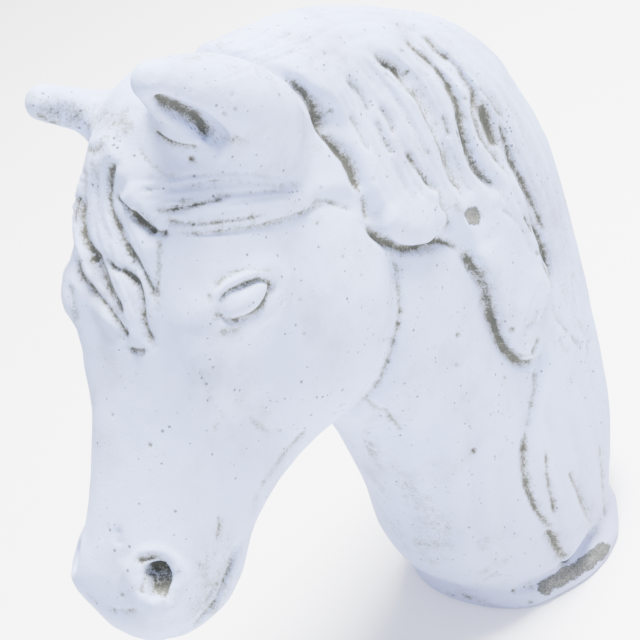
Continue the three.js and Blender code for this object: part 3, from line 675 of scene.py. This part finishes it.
# The hole's full dirt is painted shadow under the nostril's upper rim.
nostril_strokes_with_painted_shadow = [
    (3.2, 2.6, 0.9, [(136, 561), (145, 559), (154, 558), (163, 561), (169, 566)]),
    (6.5, 7.5, 1.0, [(157, 563), (158, 570), (158, 578)]),
    (5.0, 2.6, 0.55, [(170, 572), (172, 582), (169, 593), (163, 600)]),
    (2.4, 1.6, 0.7, [(148, 572), (144, 583), (141, 595)]),
]
nostril_dabs = [
    ((166, 580), (11, 17), -4.5, 0, 0),
    ((161, 584), (13, 15), 0, 0.85, 0),
    ((146, 584), (6, 11), 1.4, 0, 10),
    ((160, 602), (7, 4), 0, 0.5, 0),
    ((124, 556), (10, 7), -0.8, 0, 0),
]
layers.strokes(nostril_strokes_with_painted_shadow, near_only=True)
layers.ridge(6, 1.8, nostril_rim, near_only=True)
layers.dabs(nostril_dabs, near_only=True)
print("strokes in the nostril", len(nostril_strokes_with_painted_shadow))

# %% [markdown]
# The mouth is a slit that sinks towards its corner. The cheek's rear edge is a row of pits, as a mould
# leaves where two plaster pieces meet, and the edge of the jaw is dirty in the same way.

# %% The mouth, the cheek's edge, the jaw and the throat
mouth_edge = [(236, 552), (227, 575), (216, 600), (199, 622), (191, 631)]
mouth_line = [
    (236, 552), (232, 564), (227, 575), (222, 588), (216, 600), (206, 614), (199, 622), (191, 631),
]
cheek_edge = [
    (389, 246), (396, 266), (398, 286), (401, 303), (399, 322), (394, 342), (388, 362), (375, 388),
    (350, 413),
]
jaw_edge = [(311, 428), (297, 441), (282, 458), (268, 476), (257, 497), (249, 520)]
throat_line = [(362, 398), (377, 410), (386, 412), (392, 421), (403, 433)]
face_strokes = [
    (2.4, 2.4, 0.7, mouth_line),
    (2.6, 1.4, 0.7, [(220, 514), (220, 529), (217, 540)]),
    (2.2, 0.9, 0.5, [(197, 560), (201, 569), (197, 580)]),
    (2.2, 0.7, 0.4, [(202, 554), (211, 557), (218, 553), (228, 560)]),
    (2.6, 1.4, 0.2, [(118, 528), (117, 536), (118, 546)]),
    (2.4, 0.8, 0.6, [(104, 606), (115, 611), (138, 611)]),
    (2.4, 1.2, 0.6, cheek_edge),
    (2.6, 1.4, 0.6, throat_line),
    (3.0, 1.0, 0.25, [(200, 362), (206, 385), (214, 402), (232, 424)]),
    (2.4, 0.4, 0.4, [(248, 414), (262, 428), (284, 432)]),
    (2.6, 0.6, 0.5, jaw_edge),
]
face_dabs = [
    ((217, 582), (20, 44), 0, 0.54, 18),
    ((205, 612), (26, 16), 0, 0.40, -25),
    ((265, 410), (8, 6), 0, 0.5, 0),
    ((217, 424), (4, 7), -0.4, 0.5, 0),
]
cheek_pit_places = [(400, 303), (402, 312), (399, 324), (395, 342), (388, 362)]
cheek_pits = [(place, (2.6, 3.4), -0.9, 0.8, 0) for place in cheek_pit_places]
layers.strokes(face_strokes)
layers.steps([(2.5, 1.0, 12, (205, 590), mouth_edge)])
layers.dabs(face_dabs + cheek_pits)
print("strokes on the face", len(face_strokes))

# %% [markdown]
# ## Pits, dirt and the hand-made surface
# Air trapped against the mould leaves small round pits. The large ones are listed one by one, each with
# its radius in pixels. Stains are broad dabs of thin dirt, and a few soft folds run down the neck.

# %% Pits, stains and folds
large_pits = [
    (331, 111, 3.2), (325, 53, 2.2), (409, 72, 2.6), (402, 50, 2.0), (428, 74, 2.0), (429, 152, 2.2),
    (436, 142, 2.0), (510, 148, 2.2), (466, 99, 3.0), (374, 180, 2.2), (322, 188, 2.2), (338, 125, 2.0),
    (508, 327, 3.0), (458, 335, 2.6), (457, 365, 2.2), (539, 253, 3.4), (385, 340, 2.4), (475, 452, 3.4),
    (217, 584, 2.2), (122, 595, 2.4), (304, 333, 2.0), (318, 223, 2.0), (505, 378, 2.0), (150, 445, 2.4),
    (113, 415, 2.0), (300, 300, 1.8), (343, 257, 1.8), (282, 185, 2.0),
]
PIT_DEPTH = 0.30   # millimetres for each pixel of a pit's radius
PIT_DIRT = 0.95
stains = [
    ((450, 130), (90, 95), 0.17, 0), ((372, 452), (8, 30), 0.52, -12), ((418, 250), (30, 8), 0.45, -5),
    ((500, 196), (12, 8), 0.25, 0), ((560, 285), (12, 22), 0.25, -15), ((330, 60), (50, 16), 0.25, 10),
    ((250, 70), (40, 12), 0.3, 8), ((130, 585), (14, 22), 0.25, 0), ((432, 540), (26, 34), 0.42, 25),
    ((408, 492), (12, 22), 0.42, -20), ((427, 509), (10, 14), 0.44, 0), ((488, 542), (12, 14), 0.36, 0),
    ((488, 574), (14, 7), 0.44, 0), ((448, 586), (16, 5), 0.6, 30), ((500, 560), (18, 40), 0.26, -10),
    ((470, 600), (40, 6), 0.40, 12), ((590, 520), (14, 30), 0.28, 0), ((450, 470), (40, 50), 0.16, 0),
    ((393, 265), (10, 40), 0.2, 0), ((560, 345), (14, 12), 0.3, 0), ((320, 150), (14, 30), 0.2, -25),
    ((90, 560), (10, 30), 0.15, 0), ((205, 52), (30, 9), 0.45, -22), ((300, 45), (50, 18), 0.20, -12),
]
neck_folds = [
    (5.5, 1.3, 0.16, [(425, 420), (432, 460), (440, 505), (452, 550)]),
    (5.5, 1.3, 0.16, [(470, 420), (470, 460), (474, 505), (480, 560)]),
    (5.5, 1.3, 0.16, [(392, 440), (402, 480), (418, 525)]),
    (5.5, 1.3, 0.16, [(505, 440), (500, 480), (504, 530), (512, 570)]),
]
pit_dabs = [
    ((across, down), (size, size), -PIT_DEPTH * size, PIT_DIRT, 0) for across, down, size in large_pits
]
layers.dabs(pit_dabs, near_only=True)
layers.dabs([(place, size, 0, dirt, turn) for place, size, dirt, turn in stains])
layers.strokes(neck_folds)
print("large pits", len(large_pits), "and stains", len(stains))

# %% [markdown]
# Hair runs down the crest in even strands, which waver with a slow noise. The photograph shows them at
# a grazing angle only, so they are worked out from the place on the crest and not from pixels.

# %% Strands along the crest
CREST_STRAND = 0.0075       # from strand to strand, in metres
CREST_DEPTH = 0.0006
CREST_GROOVE = 0.16         # a groove's half width, as a share of the strand
CREST_WAVER = 0.9
CREST_WAVER_LENGTH = 0.05
CREST_HALF_WIDTH = (0.045, 0.022)   # the strands are gone at the first, and whole at the second
CREST_START = (-0.115, -0.085)      # in y, behind the poll
CREST_BOTTOM = (0.03, 0.08)         # in z, above the foot
CREST_FACING = (0.1, 0.4)           # how far the surface faces back and up
BACK_AND_UP = (0, 0.8, 0.6)


def noise_on_skin(length):
    """Smooth noise from -1 to 1 at every point, whose lumps are about as long as length."""
    return np.array([noise.noise(Vector(point / length)) for point in skin.points])


x, y, z = skin.points.T
strand_place = (x / CREST_STRAND + CREST_WAVER * noise_on_skin(CREST_WAVER_LENGTH)) % 1 - 0.5
on_crest = smoothstep(*CREST_HALF_WIDTH, np.abs(x)) * smoothstep(*CREST_START, y)
on_crest *= smoothstep(*CREST_BOTTOM, z) * smoothstep(*CREST_FACING, normals @ BACK_AND_UP)
crest_cut = CREST_DEPTH * on_crest * np.exp(-(strand_place / CREST_GROOVE) ** 2)
print("points in the crest's grooves", int((crest_cut > CREST_DEPTH / 2).sum()))

# %% [markdown]
# Then the heights are added up and the points move along the surface's normals. A slow noise makes the
# form uneven by a fraction of a millimetre, and near the ground nothing moves, so the foot stays flat.

# %% The move itself
UNEVEN = [(0.028, 0.0005), (0.009, 0.00016)]   # length and height of each kind of unevenness in metres
GROUND_FADE = (0.0, 0.004)
SOFTENING = 0.35
uneven = sum(tall * noise_on_skin(wide) for wide, tall in UNEVEN)
above_ground = smoothstep(*GROUND_FADE, skin.points[:, 2])
height = layers.rise - layers.cut - crest_cut + uneven
skin.points = skin.points + normals * (height * above_ground)[:, None]
skin.points = skin.averaged(skin.points, 1, SOFTENING)
carved_normals = skin.normals()
print("deepest cut in millimetres", round(layers.cut.max() / MILLIMETRE, 1))

# %% [markdown]
# Dirt also settles wherever the surface is hollow. A point is hollow where its neighbourhood's average
# lies outside it, so the smoothed surface is compared with the surface itself.

# %% Find the hollows
HOLLOW_FULL = 0.0007   # a hollow counts as whole where the average lies this far outside
HOLLOW_ROUNDS = 14
spread = skin.averaged(skin.points, HOLLOW_ROUNDS) - skin.points
hollow = (spread * carved_normals).sum(1) / HOLLOW_FULL
# The dirt attribute also holds the painted shadow of the strokes in creases under overhangs.
for name, values in [
    ("dirt", layers.dirt), ("bare", layers.bare), ("hollow", np.clip(hollow, 0, 1)),
]:
    stored = skin.mesh.attributes.new(name, "FLOAT", "POINT")
    stored.data.foreach_set("value", skin.averaged(values, 1))
print("share of the surface that is hollow", round(float((hollow > 0.5).mean()), 3))

# %% [markdown]
# ## Fewer triangles
# The net has the same fineness everywhere, which the smooth neck doesn't need. Decimate's collapse
# takes triangles out of the flat places first, and keeps the carving.

# %% Thin the mesh
TRIANGLES = 190_000
skin.write()
triangles = sum(len(polygon.vertices) - 2 for polygon in casting.data.polygons)
apply_modifier(casting, "TRIANGULATE")
apply_modifier(casting, "DECIMATE", ratio=min(1, TRIANGLES / triangles))
casting.data.shade_smooth()
print("triangles kept", len(casting.data.polygons), "of", triangles)

# %% [markdown]
# ## The paint
# White masonry paint over concrete is never one colour. It is cool where thick and grey where thin.
# The nodes below lay it up in the order that the real surface was made: paint, wear, dirt and pits.
# Noise on Object coordinates gives each layer its ragged edge at its real scale.

# %% Helpers for nodes
paint = bpy.data.materials.new("weathered_white_paint")
paint.use_nodes = True
nodes = paint.node_tree.nodes
links = paint.node_tree.links
nodes.clear()


def add_node(kind, inputs=None, **settings):
    """A node with its settings, whose inputs are values or other nodes' outputs."""
    node = nodes.new(kind)
    for name, value in settings.items():
        setattr(node, name, value)
    for name, value in (inputs or {}).items():
        socket = node.inputs[name]
        if isinstance(value, bpy.types.NodeSocket):
            links.new(value, socket)
        else:
            socket.default_value = value
    return node


def noise_at(scale, detail, roughness):
    """Noise from 0 to 1, with scale lumps for each metre."""
    made = add_node("ShaderNodeTexNoise", {
        "Vector": place, "Scale": scale, "Detail": detail, "Roughness": roughness, "Distortion": 0,
    })
    return made.outputs["Fac"]


def math_node(operation, first, second=0.0, third=0.0, clamp=False):
    made = add_node("ShaderNodeMath", {0: first, 1: second, 2: third}, operation=operation, use_clamp=clamp)
    return made.outputs[0]


def between(value, low, high):
    """0 below low, 1 above high, smooth between."""
    made = add_node("ShaderNodeMapRange", {
        "Value": value, "From Min": low, "From Max": high,
    }, interpolation_type="SMOOTHSTEP")
    return made.outputs["Result"]


def blend_colours(amount, below, above):
    made = add_node("ShaderNodeMix", data_type="RGBA")
    for socket, value in ((made.inputs[0], amount), (made.inputs[6], below), (made.inputs[7], above)):
        if isinstance(value, bpy.types.NodeSocket):
            links.new(value, socket)
        else:
            socket.default_value = value
    return made.outputs[2]


def attribute(name):
    return add_node("ShaderNodeAttribute", attribute_name=name).outputs["Fac"]


place = add_node("ShaderNodeTexCoord").outputs["Object"]
print("paint's nodes start from object coordinates")

# %% [markdown]
# The paint is cool where it is thick. It is greyer in broad patches where it is thin, and it is painted
# greyer towards the ground as painted shade, for the lower neck that faces down and away from the lamp.

# %% Paint, thick and thin, and painted shade towards the ground
PAINT_THICK = (0.43, 0.53, 0.84, 1)
PAINT_THIN_AND_PAINTED_SHADE = (0.33, 0.36, 0.56, 1)
THIN_SCALE = 28
THIN_EDGES = (0.42, 0.80)  # noise below the first is all thick, above the second all thin
# Painted shade: below this height the paint turns greyer towards the ground.
PAINTED_SHADE_HEIGHT = 0.20
PAINTED_SHADE_AT_GROUND = 0.85

thin_patches = between(noise_at(THIN_SCALE, 5, 0.65), *THIN_EDGES)
height_above_ground = add_node("ShaderNodeSeparateXYZ", {"Vector": place}).outputs["Z"]
painted_shade_near_ground = math_node("SUBTRACT", PAINTED_SHADE_AT_GROUND, between(height_above_ground, 0.0, PAINTED_SHADE_HEIGHT))
thin_paint_and_painted_shade = math_node("MAXIMUM", thin_patches, painted_shade_near_ground, clamp=True)
paint_and_painted_shade_colour = blend_colours(thin_paint_and_painted_shade, PAINT_THICK, PAINT_THIN_AND_PAINTED_SHADE)
print("paint is grey up to", PAINTED_SHADE_HEIGHT, "m")

# %% [markdown]
# Where the bare attribute is high the concrete shows, pale and dark by its grit. A ragged noise is
# added first, so the paint ends in flakes and not in a clean line.

# %% Bare concrete
CONCRETE = (0.055, 0.058, 0.05, 1)
CONCRETE_PALE = (0.125, 0.13, 0.125, 1)
GRIT_SCALE = 900
RAGGED_SCALE = 260
BARE_GAIN = 1.3
RAGGED_GAIN = 2.0
FLAKE_EDGES = (1.55, 1.75)

grit = noise_at(GRIT_SCALE, 3, 0.7)
ragged = noise_at(RAGGED_SCALE, 5, 0.75)
bare = attribute("bare")
bare_amount = math_node("MULTIPLY_ADD", bare, BARE_GAIN, math_node("MULTIPLY", ragged, RAGGED_GAIN))
bare_mask = math_node("MULTIPLY", between(bare_amount, *FLAKE_EDGES), between(bare, 0.02, 0.2))
concrete_colour = blend_colours(between(grit, 0.35, 0.65), CONCRETE, CONCRETE_PALE)
worn_colour = blend_colours(bare_mask, paint_and_painted_shade_colour, concrete_colour)
print("flakes at the edge are about", round(1000 / RAGGED_SCALE, 1), "mm")

# %% [markdown]
# Dirt lies in the strokes and in the hollows, and the strokes also carry painted shadow in creases under
# overhangs. It holds on to single grains first, so a speckled grain is taken away from its amount, and what
# is left over zero shows.

# %% Dirt in the creases, and painted shadow under overhangs
DIRT_PALE = (0.22, 0.225, 0.205, 1)
DIRT_AND_PAINTED_SHADOW_DARK = (0.06, 0.062, 0.05, 1)
SPECK_SCALE = 750
CLOUD_SCALE = 150
SPECK_SHARE = 0.45
HOLLOW_DIRT = 0.30
DIRT_EDGES = (-0.42, 0.40)
CLEAN_EDGES = (0.02, 0.30)   # under the first there is no dirt at all
DARK_EDGES = (0.05, 0.65)

speck = between(noise_at(SPECK_SCALE, 3, 0.8), 0.32, 0.68)
cloud = between(noise_at(CLOUD_SCALE, 4, 0.7), 0.30, 0.70)
grain = math_node("MULTIPLY_ADD", speck, SPECK_SHARE, math_node("MULTIPLY", cloud, 1 - SPECK_SHARE))
# Painted shadow comes in with the dirt attribute and turns dark here along with the dirt.
dirt_and_painted_shadow_amount = math_node("MULTIPLY_ADD", attribute("hollow"), HOLLOW_DIRT, attribute("dirt"))
dirt_and_painted_shadow_over = math_node("SUBTRACT", dirt_and_painted_shadow_amount, grain)
dirt_and_painted_shadow_mask = math_node("MULTIPLY", between(dirt_and_painted_shadow_over, *DIRT_EDGES), between(dirt_and_painted_shadow_amount, *CLEAN_EDGES))
dirt_and_painted_shadow_colour = blend_colours(between(dirt_and_painted_shadow_over, *DARK_EDGES), DIRT_PALE, DIRT_AND_PAINTED_SHADOW_DARK)
colour_with_dirt_and_painted_shadow = blend_colours(dirt_and_painted_shadow_mask, worn_colour, dirt_and_painted_shadow_colour)
print("specks of dirt are about", round(1000 / SPECK_SCALE, 1), "mm")

# %% [markdown]
# Small pits are round, so they come from Voronoi cells: a chosen share of the cells has one pit at its
# point. They crowd together in broad patches, as air bubbles do.

# %% Small pits and speckles
PIT_DARK = (0.09, 0.09, 0.085, 1)
CROWD_SCALE = 70
FEWEST_PITS = 0.09
MORE_PITS = 0.50
SMALL_CELL = 0.0030
WIDE_CELL = 0.013
SPECKLE_SCALE = 420


def pits(cell, share, size):
    """Round pits, one in a share of the cells of that width in metres, as wide as size of a cell."""
    cells = add_node("ShaderNodeTexVoronoi", {"Vector": place, "Scale": 1 / cell})
    chance = add_node("ShaderNodeSeparateColor", {"Color": cells.outputs["Color"]})
    radius = math_node("MULTIPLY", chance.outputs[1], size)
    inside = math_node("SUBTRACT", radius, cells.outputs["Distance"])
    chosen = math_node("GREATER_THAN", share, chance.outputs[0])
    return math_node("MULTIPLY", between(inside, 0.0, size * 0.35), chosen)


broad = noise_at(CROWD_SCALE, 4, 0.6)
crowding = math_node("MULTIPLY_ADD", between(broad, 0.45, 0.66), MORE_PITS, FEWEST_PITS)
small_pits = pits(SMALL_CELL, crowding, 0.36)
wide_pits = pits(WIDE_CELL, math_node("MULTIPLY", crowding, 0.6), 0.11)
pit_mask = math_node("MAXIMUM", small_pits, wide_pits)
speckle_spots = between(noise_at(SPECKLE_SCALE, 2, 0.5), 0.64, 0.70)
speckles = math_node("MULTIPLY", speckle_spots, between(broad, 0.5, 0.62))
pitted_colour = blend_colours(math_node("MULTIPLY", pit_mask, 0.85), colour_with_dirt_and_painted_shadow, PIT_DARK)
final_colour = blend_colours(math_node("MULTIPLY", speckles, 0.6), pitted_colour, DIRT_PALE)
print("layers: paint, bare concrete, dirt, pits and speckles")

# %% [markdown]
# The bump follows the same layers. Fine grit covers all of it, the bare patches are rougher, and each
# small pit is a dent. Only what is too fine for the mesh is left to the bump.

# %% Bump, roughness and the shader
GRIT_HEIGHT = 0.00026
PIT_HEIGHT = 0.0005
PAINTED_GRIT = 0.8
BARE_GRIT = 2.2
CLEAN_ROUGHNESS = 0.78
DIRT_ROUGHNESS = 0.97

rough_patches = math_node("MULTIPLY_ADD", bare_mask, BARE_GRIT, PAINTED_GRIT)
grit_and_flakes = math_node("ADD", grit, math_node("MULTIPLY", ragged, 1.3))
grit_height = math_node("MULTIPLY", math_node("MULTIPLY", grit_and_flakes, rough_patches), GRIT_HEIGHT)
surface_height = math_node("SUBTRACT", grit_height, math_node("MULTIPLY", pit_mask, PIT_HEIGHT))
bump = add_node("ShaderNodeBump", {"Height": surface_height, "Strength": 0.9, "Distance": 1.0})
roughness = add_node("ShaderNodeMapRange", {
    "Value": dirt_and_painted_shadow_mask, "To Min": CLEAN_ROUGHNESS, "To Max": DIRT_ROUGHNESS,
})
shader = add_node("ShaderNodeBsdfPrincipled", {
    "Base Color": final_colour,
    "Roughness": roughness.outputs["Result"],
    "Normal": bump.outputs["Normal"],
    "Specular IOR Level": 0.3,
})
add_node("ShaderNodeOutputMaterial", {"Surface": shader.outputs["BSDF"]})
casting.data.materials.clear()
casting.data.materials.append(paint)
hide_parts(NODE)
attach(casting, "root")
print("nodes in the paint", len(nodes))

# %% [markdown]
# ## Floor and light
# The photograph is bright and almost shadowless, with cool light on top and lavender shade below. A
# lamp above the statue and a little behind it lights the crest and the brow. A wide, weak one on the
# camera's side fills the cheek, and a bright bluish world does the rest.

# %% The floor
FLOOR_SIZE = 12
FLOOR_COLOUR = (0.96, 0.96, 0.97, 1)
FLOOR_ROUGHNESS = 0.9

floor_mesh = bpy.data.meshes.new("floor")
bm = bmesh.new()
bmesh.ops.create_grid(bm, x_segments=1, y_segments=1, size=FLOOR_SIZE / 2)
bm.to_mesh(floor_mesh)
bm.free()
floor = bpy.data.objects.new("floor", floor_mesh)
bpy.context.collection.objects.link(floor)
floor_paint = bpy.data.materials.new("pale_floor")
floor_paint.use_nodes = True
floor_shader = floor_paint.node_tree.nodes["Principled BSDF"]
floor_shader.inputs["Base Color"].default_value = FLOOR_COLOUR
floor_shader.inputs["Roughness"].default_value = FLOOR_ROUGHNESS
floor_mesh.materials.append(floor_paint)
print("floor in metres", FLOOR_SIZE)

# %% Lamps and world
KEY_PLACE = (0.2, 0.5, 2.3)
KEY_SIZE = 0.8
KEY_POWER = 420
KEY_COLOUR = (1.0, 0.99, 0.98)
FILL_PLACE = (1.2, -2.2, 1.3)
FILL_SIZE = 2.0
FILL_POWER = 55
FILL_COLOUR = (0.88, 0.91, 1.0)
SKY_COLOUR = (0.82, 0.82, 1.0, 1)
SKY_STRENGTH = 1.15


def add_lamp(name, place, size, power, colour):
    """A square lamp that looks at the middle of the statue."""
    data = bpy.data.lights.new(name, "AREA")
    data.size = size
    data.energy = power
    data.color = colour
    lamp = bpy.data.objects.new(name, data)
    lamp.location = place
    lamp.rotation_euler = (Vector(place) - camera_target).to_track_quat("Z", "Y").to_euler()
    bpy.context.collection.objects.link(lamp)


add_lamp("key", KEY_PLACE, KEY_SIZE, KEY_POWER, KEY_COLOUR)
add_lamp("fill", FILL_PLACE, FILL_SIZE, FILL_POWER, FILL_COLOUR)
world = bpy.data.worlds.new("sky")
world.use_nodes = True
background = world.node_tree.nodes["Background"]
background.inputs["Color"].default_value = SKY_COLOUR
background.inputs["Strength"].default_value = SKY_STRENGTH
bpy.context.scene.world = world
print("two lamps and a cool world")
